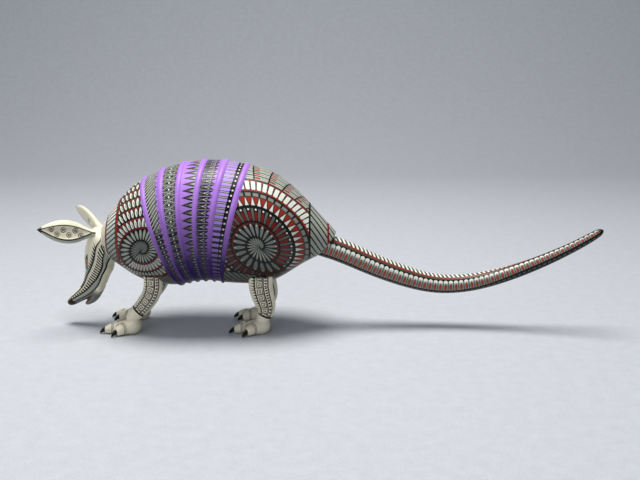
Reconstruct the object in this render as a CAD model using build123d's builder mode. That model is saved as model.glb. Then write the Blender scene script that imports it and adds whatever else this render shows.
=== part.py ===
from build123d import *

import os
from math import cos, radians, sin

# A painted wooden armadillo, carved in the manner of Mexican folk figures, as its separate pieces.
#
# The frame is in millimetres: +X runs from the snout to the tail, +Y to the figure's right side and +Z up.
# The origin is on the floor under the middle of the figure's overall box.
# The head and the four legs are glued into the trunk on hidden dowels. The tail and the two ears are dry
# fits on round pegs: each turns on its peg, and comes out together with its peg for packing.

# Overall placement and fits
WAIST_X = -94.0  # the middle of the waist, behind the origin towards the snout
GLUE_GAP = 0.1  # glue line between two fixed pieces
PEG_GAP = 0.05  # radial clearance of a peg in its hole
HOLE_SPARE = 0.5  # how much deeper a hole is than the peg in it
OVAL_POINTS = 12  # points that a smooth oval section is drawn through

# Trunk: an egg on its side, drawn by the top and the bottom of its cross-sections (x from the waist, z) and
# their half widths
FRONT_COLLAR = ((-81.4, 82.0), (-71.6, 54.6), 16.0)
SHOULDERS = (
    ((-74.6, 93.4), (-61.6, 48.0), 25.5),
    ((-63.0, 107.8), (-46.5, 39.8), 34.8),
)
RUMP = (
    ((57.0, 124.6), (35.0, 37.0), 40.6),
    ((77.0, 108.6), (58.0, 41.0), 32.6),
    ((92.5, 91.8), (76.0, 51.8), 22.0),
)
REAR_COLLAR = ((104.6, 78.0), (87.3, 58.0), 14.2)

# Waist: six raised ridges in planes that fan out from one line under the belly
FAN_X, FAN_Z = 1.7, -22.0
FAN_ANGLES = [-18.5 + 6.14 * i for i in range(6)]
FAN_TOP_RADIUS, FAN_BELLY_RADIUS = 157.8, 61.5
FAN_TOP_ANGLE = 6.5  # where the back is highest
FAN_TOP_DROP = 0.0115  # mm of drop per square degree away from there
WAIST_HALF_WIDTH = 43.0
WAIST_TAPER = 0.008  # mm of half width lost per square degree from the middle of the waist
RIDGE_HEIGHT, RIDGE_HALF_ANGLE = 1.2, 0.75

# Neck and head; the head's stations are from the neck's centre, in a frame that is turned with the head
NECK_X, NECK_Z = -76.3, 67.6
NECK_HALF_WIDTH, NECK_HALF_HEIGHT, NECK_DEPTH = 13.0, 12.2, 10.0
NECK_DOWEL_RADIUS, NECK_DOWEL_LENGTH = 4.0, 20.0
HEAD_TURN = 9.0  # degrees towards the figure's right side
# each section's front point and rear point (x, z), then its half width
HEAD_STATIONS = (
    ((-10.0, 14.0), (2.6, -15.0), 13.0),
    ((-17.6, 5.0), (1.6, -20.5), 12.6),
    ((-20.8, -9.0), (-1.8, -26.5), 11.2),
    ((-21.0, -20.5), (-4.9, -33.0), 9.4),
    ((-23.8, -31.2), (-11.0, -39.6), 7.4),
    ((-29.6, -39.0), (-20.4, -45.4), 5.8),
    ((-35.0, -44.2), (-29.2, -49.8), 4.6),
    ((-37.8, -47.8), (-34.8, -51.6), 2.8),
)
JAW_STATIONS = (
    ((-11.0, -30.0), (-4.9, -33.6), 7.0),
    ((-15.6, -38.4), (-9.0, -41.4), 5.4),
    ((-19.2, -44.4), (-13.6, -47.0), 4.0),
    ((-22.4, -48.4), (-19.4, -50.0), 2.4),
)

# Ears: each is set out along its own axis, which starts at its seat on the head
EAR_SEAT = (-9.0, 7.5, 10.0)  # from the neck's centre, to either side of the head
EAR_REACH = (-36.0, 29.0)  # the axis goes this much ahead and outwards
EAR_RISE = {-1: 8.0, 1: 15.0}  # as it rises by this much on the left and on the right
EAR_FACE = (0.65, 0.67, 0.37)  # the way that the hollow side faces
# distance along the axis, half width, half thickness
EAR_STATIONS = (
    (0.3, 3.0, 3.0),
    (5.0, 4.0, 2.9),
    (12.0, 7.2, 3.2),
    (22.0, 9.3, 3.3),
    (32.0, 7.6, 2.8),
    (40.0, 3.6, 1.8),
    (44.5, 0.5, 0.5),
)
# The hollow is scooped by a spindle: its middle and half length along the axis, its radius, and how far it
# stays above the ear's middle plane
EAR_HOLLOW_REACH, EAR_HOLLOW_HALF_LENGTH = 23.0, 18.5
EAR_HOLLOW_RADIUS, EAR_HOLLOW_FLOOR = 7.0, 0.2
EAR_SEAT_RADIUS = 3.5
EAR_PEG_RADIUS, EAR_PEG_LENGTH = 1.6, 12.0

# Legs: x from the waist, z, half length and half width, going down from inside the trunk
LEG_Y = 20.0
FRONT_LEG = (
    (-38.8, 39.5, 7.4, 7.1),
    (-40.3, 33.5, 7.2, 6.9),
    (-43.8, 27.0, 6.8, 6.4),
    (-49.6, 20.0, 6.2, 5.9),
    (-56.2, 13.6, 5.2, 5.3),
)
REAR_LEG = (
    (45.4, 39.0, 9.4, 7.8),
    (46.4, 34.0, 9.2, 7.5),
    (48.0, 28.0, 8.6, 7.0),
    (49.6, 21.0, 7.2, 6.3),
    (48.4, 15.0, 5.6, 5.6),
    (46.0, 10.5, 5.0, 5.4),
)
MORTISE_TOP = 54.0
LEG_DOWEL_RADIUS, LEG_DOWEL_LENGTH = 3.0, 24.0

# Feet: a pad, then three toes that end in claws.
# Sections of the pad: x from the ankle, z, half height and half width
FOOT_PAD = (
    (6.0, 6.0, 3.6, 4.2),
    (1.0, 6.0, 6.4, 7.4),
    (-7.0, 5.0, 5.4, 8.6),
    (-13.0, 3.8, 4.0, 8.2),
)
TOES = (
    (-5.0, -4.0, 40.0, 7.6),
    (-9.0, 0.0, 5.0, 12.0),
    (-8.4, 4.8, -14.0, 9.2),
)
TOE_RADIUS, TOE_TIP_RADIUS = 3.8, 2.6
TOE_HEIGHT, TOE_TIP_HEIGHT = 4.0, 3.2
CLAW_RADIUS, CLAW_TIP_RADIUS, CLAW_LENGTH = 2.0, 0.5, 5.2
CLAW_SINK = 1.5  # how far a claw starts inside its toe
FLOOR_CUT = (100.0, 60.0)  # size of the cut that levels a sole

# Tail: a round root in a round seat, then sections as x from the waist, y, z and radius
TAIL_ROOT_X, TAIL_ROOT_Z = 95.9, 67.0
TAIL_SLOPE = 18.0  # degrees down at the root
TAIL_ROOT_RADIUS, TAIL_SEAT_DEPTH, TAIL_SEAT_GAP = 9.3, 9.0, 0.4
TAIL_STRAIGHT = 7.0  # length of the round root beyond the middle of the collar
TAIL_STATIONS = (
    (133.0, 0.0, 51.9, 8.9),
    (158.0, -0.3, 42.4, 8.4),
    (183.0, -1.2, 36.2, 7.7),
    (205.0, -2.8, 36.2, 7.2),
    (233.5, -6.0, 42.6, 6.2),
    (260.0, -9.8, 53.0, 5.2),
    (277.0, -12.6, 61.4, 4.6),
    (294.0, -15.4, 71.0, 3.9),
    (307.0, -17.4, 79.4, 3.1),
    (311.6, -18.2, 82.6, 1.5),
)
TAIL_PEG_RADIUS, TAIL_PEG_LENGTH = 4.0, 32.0
PEG_CHAMFER = 0.5


# Section helpers ----------------------------------------------------------------------------------


def chord_plane(top, bottom):
    """The plane across the figure through two points of its outline, facing the tail."""
    rise = Vector(top[0] - bottom[0], 0, top[1] - bottom[1]).normalized()
    middle = (WAIST_X + (top[0] + bottom[0]) / 2, 0, (top[1] + bottom[1]) / 2)
    return Plane(origin=middle, x_dir=(0, 1, 0), z_dir=(rise.Z, 0, -rise.X))


def oval(plane, half_width, half_height):
    """A smooth oval on a plane, which always starts at the same side so that ovals loft without a twist."""
    turns = [radians(360 * i / OVAL_POINTS) for i in range(OVAL_POINTS)]
    with BuildSketch(plane) as section:
        with BuildLine():
            Spline([(half_width * cos(turn), half_height * sin(turn)) for turn in turns], periodic=True)
        make_face()
    return section.sketch


def chord_section(top, bottom, half_width):
    """A cross-section of the trunk between two points of its outline."""
    chord = Vector(top[0] - bottom[0], top[1] - bottom[1])
    return oval(chord_plane(top, bottom), half_width, chord.length / 2)


def fan_section(angle, proud=0.0):
    """The waist's cross-section at an angle of the fan, stood proud of the surface."""
    top_radius = FAN_TOP_RADIUS - FAN_TOP_DROP * (angle - FAN_TOP_ANGLE) ** 2 + proud
    belly_radius = FAN_BELLY_RADIUS - proud
    middle_angle = (FAN_ANGLES[0] + FAN_ANGLES[-1]) / 2
    half_width = WAIST_HALF_WIDTH - WAIST_TAPER * (angle - middle_angle) ** 2 + proud
    across, up = sin(radians(angle)), cos(radians(angle))
    top = (FAN_X + top_radius * across, FAN_Z + top_radius * up)
    bottom = (FAN_X + belly_radius * across, FAN_Z + belly_radius * up)
    return chord_section(top, bottom, half_width)


def section_across(centre, direction, half_depth, half_width, sideways=(0, 1, 0)):
    """An oval section facing along direction, with its half width along sideways."""
    facing = Vector(direction).normalized()
    side = Vector(sideways) - facing * Vector(sideways).dot(facing)
    return oval(Plane(origin=centre, x_dir=side, z_dir=facing), half_width, half_depth)


def path_direction(points, i):
    """The direction of a line of points at point i."""
    before, after = points[max(i - 1, 0)], points[min(i + 1, len(points) - 1)]
    return (Vector(after) - Vector(before)).normalized()


# Frames of the neck, head, ears and tail ----------------------------------------------------------

NECK_CENTRE = Vector(WAIST_X + NECK_X, 0, NECK_Z)
NECK_OUT = chord_plane(*FRONT_COLLAR[:2]).z_dir * -1
NECK_FLOOR = NECK_CENTRE - NECK_OUT * NECK_DEPTH
HEAD = Plane(NECK_CENTRE, x_dir=(cos(radians(HEAD_TURN)), -sin(radians(HEAD_TURN)), 0), z_dir=(0, 0, 1))
TAIL_OUT = Vector(cos(radians(TAIL_SLOPE)), 0, -sin(radians(TAIL_SLOPE)))
TAIL_CENTRE = Vector(WAIST_X + TAIL_ROOT_X, 0, TAIL_ROOT_Z)
TAIL_SEAT = TAIL_CENTRE - TAIL_OUT * TAIL_SEAT_DEPTH


def neck_plane(inset=0.0):
    """The plane across the neck, inset from the collar into the trunk, facing the head."""
    return Plane(NECK_CENTRE - NECK_OUT * inset, x_dir=(0, 1, 0), z_dir=NECK_OUT)


def tail_plane(reach):
    """The plane across the tail's axis, reach beyond the seat, facing the tip."""
    return Plane(TAIL_SEAT + TAIL_OUT * reach, x_dir=(0, 1, 0), z_dir=TAIL_OUT)


def head_direction(ahead, outwards, up, side):
    """A direction in the head's frame, mirrored to a side of the head. side is -1 on the left."""
    return HEAD.from_local_coords((ahead, side * outwards, up)) - HEAD.origin


def ear_plane(side, reach=0.0):
    """The plane across an ear's axis, reach out from its seat. Its y direction is the hollow side."""
    seat = HEAD.origin + head_direction(*EAR_SEAT, side)
    out = head_direction(*EAR_REACH, EAR_RISE[side], side).normalized()
    face = head_direction(*EAR_FACE, side)
    return Plane(seat + out * reach, x_dir=face.cross(out), z_dir=out)


def head_section(front, rear, half_width):
    """A cross-section of the head between two points of its outline, facing the snout."""
    front_point = HEAD.from_local_coords((front[0], 0, front[1]))
    rear_point = HEAD.from_local_coords((rear[0], 0, rear[1]))
    chord = front_point - rear_point
    middle = (front_point + rear_point) / 2
    return section_across(middle, HEAD.y_dir.cross(chord), chord.length / 2, half_width, HEAD.y_dir)


# Pegs and dowels ----------------------------------------------------------------------------------


def peg(middle_plane, radius, length):
    """A round peg with chamfered ends, along the normal of the plane through its middle."""
    with BuildPart() as rod:
        with BuildSketch(middle_plane):
            Circle(radius)
        extrude(amount=length / 2, both=True)
        chamfer(rod.edges().filter_by(GeomType.CIRCLE), PEG_CHAMFER)
    return rod


def leg_plane(leg, side):
    """The level plane at the top of a leg's tenon."""
    return Plane((WAIST_X + leg[0][0], side * LEG_Y, MORTISE_TOP))


neck_dowel = peg(neck_plane(NECK_DEPTH), NECK_DOWEL_RADIUS, NECK_DOWEL_LENGTH)
tail_peg = peg(tail_plane(0), TAIL_PEG_RADIUS, TAIL_PEG_LENGTH)
ear_left_peg = peg(ear_plane(-1), EAR_PEG_RADIUS, EAR_PEG_LENGTH)
ear_right_peg = peg(ear_plane(1), EAR_PEG_RADIUS, EAR_PEG_LENGTH)
front_left_dowel = peg(leg_plane(FRONT_LEG, -1), LEG_DOWEL_RADIUS, LEG_DOWEL_LENGTH)
front_right_dowel = peg(leg_plane(FRONT_LEG, 1), LEG_DOWEL_RADIUS, LEG_DOWEL_LENGTH)
rear_left_dowel = peg(leg_plane(REAR_LEG, -1), LEG_DOWEL_RADIUS, LEG_DOWEL_LENGTH)
rear_right_dowel = peg(leg_plane(REAR_LEG, 1), LEG_DOWEL_RADIUS, LEG_DOWEL_LENGTH)


def drill(plane, radius, peg_length):
    """A hole for half of a peg, going in against the plane's normal."""
    with BuildSketch(plane) as mouth:
        Circle(radius + PEG_GAP)
    extrude(mouth.sketch, amount=-(peg_length / 2 + HOLE_SPARE), mode=Mode.SUBTRACT)


# Trunk --------------------------------------------------------------------------------------------


with BuildPart() as trunk:
    # Shoulders, then ridges with the bands between them, then rump; neighbours share their end faces
    shoulders = [chord_section(*station) for station in (FRONT_COLLAR, *SHOULDERS)]
    loft(sections=shoulders + [fan_section(FAN_ANGLES[0] - RIDGE_HALF_ANGLE)])
    for i, angle in enumerate(FAN_ANGLES):
        ridge_start = fan_section(angle - RIDGE_HALF_ANGLE)
        ridge_end = fan_section(angle + RIDGE_HALF_ANGLE)
        loft(sections=[ridge_start, fan_section(angle, RIDGE_HEIGHT), ridge_end])
        if angle != FAN_ANGLES[-1]:
            loft(sections=[ridge_end, fan_section(FAN_ANGLES[i + 1] - RIDGE_HALF_ANGLE)])
    rump = [chord_section(*station) for station in (*RUMP, REAR_COLLAR)]
    loft(sections=[fan_section(FAN_ANGLES[-1] + RIDGE_HALF_ANGLE)] + rump)
    # The neck's socket and dowel hole
    socket = oval(neck_plane(NECK_DEPTH), NECK_HALF_WIDTH + GLUE_GAP, NECK_HALF_HEIGHT + GLUE_GAP)
    extrude(socket, amount=2 * NECK_DEPTH, mode=Mode.SUBTRACT)  # twice the depth clears the collar's rim
    drill(neck_plane(NECK_DEPTH), NECK_DOWEL_RADIUS, NECK_DOWEL_LENGTH)
    # The tail's round seat and peg hole
    with BuildSketch(tail_plane(0)):
        Circle(TAIL_ROOT_RADIUS + TAIL_SEAT_GAP)
    extrude(amount=3 * TAIL_SEAT_DEPTH, mode=Mode.SUBTRACT)  # well clear of the collar's rim
    drill(tail_plane(0), TAIL_PEG_RADIUS, TAIL_PEG_LENGTH)
    # The legs' mortises and dowel holes
    for leg in (FRONT_LEG, REAR_LEG):
        for side in (-1, 1):
            mortise = oval(leg_plane(leg, side), leg[0][2] + GLUE_GAP, leg[0][3] + GLUE_GAP)
            extrude(mortise, amount=-MORTISE_TOP, mode=Mode.SUBTRACT)
            drill(leg_plane(leg, side).offset(LEG_DOWEL_LENGTH / 2), LEG_DOWEL_RADIUS, LEG_DOWEL_LENGTH)

# Head ---------------------------------------------------------------------------------------------

with BuildPart() as head:
    neck = oval(neck_plane(), NECK_HALF_WIDTH, NECK_HALF_HEIGHT)
    extrude(neck, amount=-(NECK_DEPTH - GLUE_GAP))
    loft(sections=[neck] + [head_section(*station) for station in HEAD_STATIONS])
    loft(sections=[head_section(*station) for station in JAW_STATIONS])
    with BuildSketch(neck_plane(NECK_DEPTH)):
        Circle(NECK_DOWEL_RADIUS + PEG_GAP)
    extrude(amount=NECK_DOWEL_LENGTH / 2 + HOLE_SPARE, mode=Mode.SUBTRACT)
    for side in (-1, 1):
        with BuildSketch(ear_plane(side)):
            Circle(EAR_SEAT_RADIUS)
        extrude(amount=4 * EAR_SEAT_RADIUS, mode=Mode.SUBTRACT)  # well clear of the crown
        drill(ear_plane(side), EAR_PEG_RADIUS, EAR_PEG_LENGTH)

# Ears ---------------------------------------------------------------------------------------------


def leaf_ear(side):
    """A leaf-shaped ear, hollow on its outer face, with a peg hole in its root."""
    with BuildPart() as leaf:
        sections = []
        for reach, half_width, half_thickness in EAR_STATIONS:
            sections.append(oval(ear_plane(side, reach), half_width, half_thickness))
        loft(sections=sections)
        leaf_plane = ear_plane(side, EAR_HOLLOW_REACH)
        hollow_axis = leaf_plane.origin + leaf_plane.y_dir * (EAR_HOLLOW_RADIUS + EAR_HOLLOW_FLOOR)
        with BuildSketch(Plane(hollow_axis, x_dir=leaf_plane.z_dir, z_dir=leaf_plane.x_dir)) as spindle:
            with BuildLine():
                ends = ((-EAR_HOLLOW_HALF_LENGTH, 0), (EAR_HOLLOW_HALF_LENGTH, 0))
                ThreePointArc(ends[0], (0, EAR_HOLLOW_RADIUS), ends[1])
                Line(*ends)
            make_face()
        revolve(spindle.sketch, axis=Axis(hollow_axis, leaf_plane.z_dir), mode=Mode.SUBTRACT)
        with BuildSketch(ear_plane(side)):
            Circle(EAR_PEG_RADIUS + PEG_GAP)
        extrude(amount=EAR_PEG_LENGTH / 2 + HOLE_SPARE, mode=Mode.SUBTRACT)
    return leaf


ear_left = leaf_ear(-1)
ear_right = leaf_ear(1)

# Legs ---------------------------------------------------------------------------------------------


def toe_sections(root, splay, stations):
    """Round sections along a toe that leaves root at an angle. A station is reach, height and radius."""
    ahead = Vector(-cos(radians(splay)), -sin(radians(splay)), 0)
    return [
        section_across(root + ahead * reach + Vector(0, 0, height), ahead, radius, radius)
        for reach, height, radius in stations
    ]


def left_leg(leg):
    """A left leg: a tenon, a shank through leg's stations, and a flat-soled foot with three clawed toes."""
    centres = [Vector(WAIST_X + x, -LEG_Y, z) for x, z, _, _ in leg]
    ankle_x = centres[-1].X
    with BuildPart() as limb:
        shank = [section_across(centres[0], (0, 0, -1), leg[0][2], leg[0][3])]
        for i in range(1, len(leg)):
            shank.append(section_across(centres[i], path_direction(centres, i), leg[i][2], leg[i][3]))
        extrude(shank[0], amount=-(MORTISE_TOP - GLUE_GAP - leg[0][1]))
        loft(sections=shank)
        pad = []
        for x, z, half_height, half_width in FOOT_PAD:
            pad.append(section_across((ankle_x + x, -LEG_Y, z), (-1, 0, 0), half_height, half_width))
        loft(sections=pad)
        for start, side_step, splay, length in TOES:
            root = Vector(ankle_x + start, -LEG_Y + side_step, 0)
            loft(sections=toe_sections(root, splay, (
                (0, TOE_HEIGHT, TOE_RADIUS),
                (length / 2, TOE_HEIGHT, TOE_RADIUS),
                (length, TOE_TIP_HEIGHT, TOE_TIP_RADIUS),
            )))
            loft(sections=toe_sections(root, splay, (
                (length - CLAW_SINK, TOE_TIP_HEIGHT, CLAW_RADIUS),
                (length + CLAW_LENGTH, CLAW_TIP_RADIUS, CLAW_TIP_RADIUS),
            )))
        # Nothing goes below the floor
        with BuildSketch():
            with Locations((ankle_x, -LEG_Y)):
                Rectangle(*FLOOR_CUT)
        extrude(amount=-FLOOR_CUT[1], mode=Mode.SUBTRACT)
        drill(Plane((centres[0].X, -LEG_Y, MORTISE_TOP)), LEG_DOWEL_RADIUS, LEG_DOWEL_LENGTH)
    return limb


def right_leg(left):
    """The mirror image of a left leg."""
    with BuildPart() as limb:
        add(left.part)
        mirror(about=Plane.XZ, mode=Mode.REPLACE)
    return limb


front_left_leg = left_leg(FRONT_LEG)
rear_left_leg = left_leg(REAR_LEG)
front_right_leg = right_leg(front_left_leg)
rear_right_leg = right_leg(rear_left_leg)

# Tail ---------------------------------------------------------------------------------------------

with BuildPart() as tail:
    root_end = tail_plane(TAIL_SEAT_DEPTH + TAIL_STRAIGHT)
    points = [root_end.origin] + [Vector(WAIST_X + x, y, z) for x, y, z, _ in TAIL_STATIONS]
    rings = [section_across(points[0], TAIL_OUT, TAIL_ROOT_RADIUS, TAIL_ROOT_RADIUS)]
    for i in range(1, len(points)):
        radius = TAIL_STATIONS[i - 1][3]
        rings.append(section_across(points[i], path_direction(points, i), radius, radius))
    extrude(rings[0], amount=-(TAIL_SEAT_DEPTH + TAIL_STRAIGHT - GLUE_GAP))
    loft(sections=rings)
    with BuildSketch(tail_plane(0)):
        Circle(TAIL_PEG_RADIUS + PEG_GAP)
    extrude(amount=TAIL_PEG_LENGTH / 2 + HOLE_SPARE, mode=Mode.SUBTRACT)

# Labels and STEP files ----------------------------------------------------------------------------

pieces = {
    "trunk": trunk,
    "head": head,
    "neck_dowel": neck_dowel,
    "ear_left": ear_left,
    "ear_right": ear_right,
    "ear_left_peg": ear_left_peg,
    "ear_right_peg": ear_right_peg,
    "tail": tail,
    "tail_peg": tail_peg,
    "front_left_leg": front_left_leg,
    "front_right_leg": front_right_leg,
    "rear_left_leg": rear_left_leg,
    "rear_right_leg": rear_right_leg,
    "front_left_dowel": front_left_dowel,
    "front_right_dowel": front_right_dowel,
    "rear_left_dowel": rear_left_dowel,
    "rear_right_dowel": rear_right_dowel,
}
os.makedirs("parts", exist_ok=True)
for name, piece in pieces.items():
    piece.part.label = name
    export_step(piece.part, f"parts/{name}.step")
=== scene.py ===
"""The looks of a carved and painted wooden armadillo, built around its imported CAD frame.

Sizes are millimetres until a mesh is made. x runs from the snout to the tail and z up, and outlines are
written from the middle of the waist. Every carved piece is a smooth mesh of its own, and carries the
coordinates in which its material's nodes draw its paint.
"""

import math

import bpy
import numpy as np
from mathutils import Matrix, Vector


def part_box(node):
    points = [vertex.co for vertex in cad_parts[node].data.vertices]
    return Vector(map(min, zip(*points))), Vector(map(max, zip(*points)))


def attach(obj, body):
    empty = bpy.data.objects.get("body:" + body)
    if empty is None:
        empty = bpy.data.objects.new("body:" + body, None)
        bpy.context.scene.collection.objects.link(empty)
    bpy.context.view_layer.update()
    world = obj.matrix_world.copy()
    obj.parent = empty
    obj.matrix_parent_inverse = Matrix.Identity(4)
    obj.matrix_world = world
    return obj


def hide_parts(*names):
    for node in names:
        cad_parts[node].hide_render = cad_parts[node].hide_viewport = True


MM = 0.001
SIDEWAYS, UPWARDS = np.array([0.0, 1.0, 0.0]), np.array([0.0, 0.0, 1.0])
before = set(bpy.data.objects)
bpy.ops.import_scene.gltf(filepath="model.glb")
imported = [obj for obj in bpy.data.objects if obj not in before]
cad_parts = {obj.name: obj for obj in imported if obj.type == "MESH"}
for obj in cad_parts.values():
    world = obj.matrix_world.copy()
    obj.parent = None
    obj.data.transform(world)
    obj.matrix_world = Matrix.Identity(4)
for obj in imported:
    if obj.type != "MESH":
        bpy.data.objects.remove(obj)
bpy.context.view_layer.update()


# ---- Numbers and curves ----


def spline(knots, values, at):
    """A natural cubic spline through values at knots, read at the places in at."""
    knots, values, at = np.asarray(knots, float), np.asarray(values, float), np.asarray(at, float)
    values = values.reshape(len(knots), -1)
    gap = np.diff(knots)[:, None]
    slope = np.diff(values, axis=0) / gap
    system = np.eye(len(knots))
    right = np.zeros_like(values)
    for i in range(1, len(knots) - 1):
        before, after = gap[i - 1, 0], gap[i, 0]
        system[i, i - 1 : i + 2] = before, 2 * (before + after), after
        right[i] = 6 * (slope[i] - slope[i - 1])
    bend = np.linalg.solve(system, right)
    cell = np.clip(np.searchsorted(knots, at, side="right") - 1, 0, len(knots) - 2)
    step, from_left = gap[cell], (at - knots[cell])[:, None]
    linear = slope[cell] - step * (2 * bend[cell] + bend[cell + 1]) / 6
    curved = bend[cell] / 2 + from_left * (bend[cell + 1] - bend[cell]) / (6 * step)
    return values[cell] + from_left * (linear + from_left * curved)


def smooth(value, low, high):
    """0 below low, 1 above high, and an easy curve between."""
    t = np.clip((np.asarray(value, float) - low) / (high - low), 0, 1)
    return t * t * (3 - 2 * t)


def unit(vectors):
    vectors = np.asarray(vectors, float)
    return vectors / np.linalg.norm(vectors, axis=-1, keepdims=True)


def in_plane(pairs):
    """(x, z) pairs as points of the figure's middle plane."""
    return np.insert(np.asarray(pairs, float), 1, 0, axis=-1)


def run_length(points):
    """The distance along a line of points to each of them."""
    return np.concatenate([[0], np.cumsum(np.linalg.norm(np.diff(points, axis=0), axis=1))])


# ---- Meshes ----


def ring_angles(columns):
    """Angles around a ring, from its lower end up one side and down the other."""
    return np.arange(columns) * 2 * math.pi / columns


def rings(centres, ups, sides, columns):
    """Oval rings: each has a centre, an upward half axis and a sideways half axis."""
    angle = ring_angles(columns)[None, :, None]
    centres, ups, sides = (np.asarray(a, float)[:, None, :] for a in (centres, ups, sides))
    return centres - np.cos(angle) * ups + np.sin(angle) * sides


def link(name, data):
    """A new object in the scene."""
    thing = bpy.data.objects.new(name, data)
    bpy.context.scene.collection.objects.link(thing)
    return thing


def link_smooth(name, mesh):
    mesh.polygons.foreach_set("use_smooth", [True] * len(mesh.polygons))
    return link(name, mesh)


def new_object(name, points, faces):
    mesh = bpy.data.meshes.new(name)
    mesh.from_pydata((np.asarray(points) * MM).tolist(), [], faces)
    mesh.validate()
    return link_smooth(name, mesh)


def skin(name, stack, fields=None):
    """A closed mesh over a stack of rings, with a fan at each end. fields hold numbers for its points."""
    count, columns = stack.shape[:2]
    points = np.vstack([stack.reshape(-1, 3), stack[0].mean(0), stack[-1].mean(0)])
    faces = []
    for i in range(count - 1):
        for j in range(columns):
            k = (j + 1) % columns
            faces.append((i * columns + j, i * columns + k, (i + 1) * columns + k, (i + 1) * columns + j))
    first, last = count * columns, count * columns + 1
    for j in range(columns):
        k = (j + 1) % columns
        faces.append((first, k, j))
        faces.append((last, (count - 1) * columns + j, (count - 1) * columns + k))
    piece = new_object(name, points, faces)
    for label, values in (fields or {}).items():
        values = np.broadcast_to(values, (count, columns)).astype(float)
        write_field(piece, label, np.concatenate([values.ravel(), [values[0].mean(), values[-1].mean()]]))
    return piece


def write_field(piece, label, values):
    """Stores one number for each point of a mesh, for its material to read."""
    attribute = piece.data.attributes.new(label, "FLOAT", "POINT")
    attribute.data.foreach_set("value", np.asarray(values, np.float32))


def finish_piece(piece, body, node, slot, *materials):
    """Gives a piece its materials, and puts it in the place of its CAD node."""
    for material in materials:
        piece.data.materials.append(material)
    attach(piece, body)
    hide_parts(node)


# ---- Trunk shape ----

dowel_low, dowel_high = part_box("front_left_dowel")
DOWEL_AHEAD = 38.8  # the front dowels' distance ahead of the middle of the waist
WAIST_X = (dowel_low.x + dowel_high.x) / 2 / MM + DOWEL_AHEAD
TRUNK_COLUMNS = 224
# Cross-sections ahead of and behind the waist: top (x, z), bottom (x, z) and half width
SHOULDER_SECTIONS = (
    ((-81.4, 82.0), (-71.6, 54.6), 16.0),
    ((-74.6, 93.4), (-61.6, 48.0), 25.5),
    ((-63.0, 107.8), (-46.5, 39.8), 34.8),
)
RUMP_SECTIONS = (
    ((57.0, 124.6), (35.0, 37.0), 40.6),
    ((77.0, 108.6), (58.0, 41.0), 32.6),
    ((92.5, 91.8), (76.0, 51.8), 22.0),
    ((104.6, 78.0), (87.3, 58.0), 14.2),
)
# The waist's ridges stand in planes that fan out from a line under the belly
FAN_LINE = np.array([1.7, -22.0])
FAN_FIRST, FAN_STEP, RIDGES = -18.5, 6.14, 6
FAN_BELLY = 61.5
RIDGE_HEIGHT, RIDGE_HALF_ANGLE = 1.2, 0.9
BOW_PLACES = (-1.5, 0, 1, 2, 3, 4, 5, 6.5)
BOW_STEPS = (0, 0.6, 1.6, 3.4, 3.8, 3.4, 2.6, 0)  # how far the bands bow forwards there


def fan_section(angle):
    """Top, bottom and half width of the waist at an angle of the fan."""
    top = 157.8 - 0.0115 * (angle - 6.5) ** 2
    middle = FAN_FIRST + FAN_STEP * (RIDGES - 1) / 2
    half_width = 43.0 - 0.008 * (angle - middle) ** 2
    lean = np.array([math.sin(math.radians(angle)), math.cos(math.radians(angle))])
    return FAN_LINE + top * lean, FAN_LINE + FAN_BELLY * lean, half_width


def trunk_rows():
    """Where the trunk's rings go: along counts sections, and the fan place counts ridges from 0 to 5."""
    sections = list(SHOULDER_SECTIONS) + [fan_section(FAN_FIRST + FAN_STEP * i) for i in range(RIDGES)]
    sections += list(RUMP_SECTIONS)
    first_ridge = len(SHOULDER_SECTIONS)
    table = np.array([[*top, *bottom, half_width] for top, bottom, half_width in sections])
    knots = run_length((table[:, 0:2] + table[:, 2:4]) / 2)
    ridge_knots = knots[first_ridge : first_ridge + RIDGES]
    rows = [np.linspace(knots[0], ridge_knots[0], 84, endpoint=False)]
    over_ridge = np.linspace(-1, 1, 13) * RIDGE_HALF_ANGLE / FAN_STEP
    between = np.linspace(0.17, 0.83, 16)
    places = np.concatenate([np.append(over_ridge, between) + i for i in range(RIDGES)])
    places = np.unique(np.round(places, 6))
    places = places[(places >= 0) & (places <= RIDGES - 1)]
    rows.append(spline(range(RIDGES), ridge_knots, places)[:, 0])
    rows.append(np.linspace(ridge_knots[-1], knots[-1], 120)[1:])
    along = np.concatenate(rows)
    fan_place = spline(ridge_knots, range(RIDGES), along)[:, 0]
    return table, knots, along, fan_place


def trunk():
    table, knots, along, fan_place = trunk_rows()
    outline = spline(knots, table, along)
    top, bottom, half_width = outline[:, 0:2], outline[:, 2:4], outline[:, 4]
    ups = in_plane((top - bottom) / 2)
    centres = in_plane((top + bottom) / 2) + [WAIST_X, 0, 0]
    shell = rings(centres, ups, half_width[:, None] * SIDEWAYS, TRUNK_COLUMNS)
    # Ridges stand out square to the rings' ovals
    nearest = np.clip(np.round(fan_place), 0, RIDGES - 1)
    off_ridge = np.abs(fan_place - nearest) * FAN_STEP / RIDGE_HALF_ANGLE
    height = RIDGE_HEIGHT * np.clip(1 - off_ridge**2, 0, 1) ** 0.6
    angle = ring_angles(TRUNK_COLUMNS)[None, :, None]
    outward = unit(-np.cos(angle) * unit(ups)[:, None] * half_width[:, None, None]
                   + np.sin(angle) * SIDEWAYS * np.linalg.norm(ups, axis=1)[:, None, None])
    shell = shell + outward * height[:, None, None]
    # The bands bow forwards on the flanks
    bow = np.interp(fan_place, BOW_PLACES, BOW_STEPS)[:, None] * np.sin(ring_angles(TRUNK_COLUMNS)) ** 2
    shell[:, :, 0] -= bow
    return shell, fan_place, flank_rise(shell)


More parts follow.
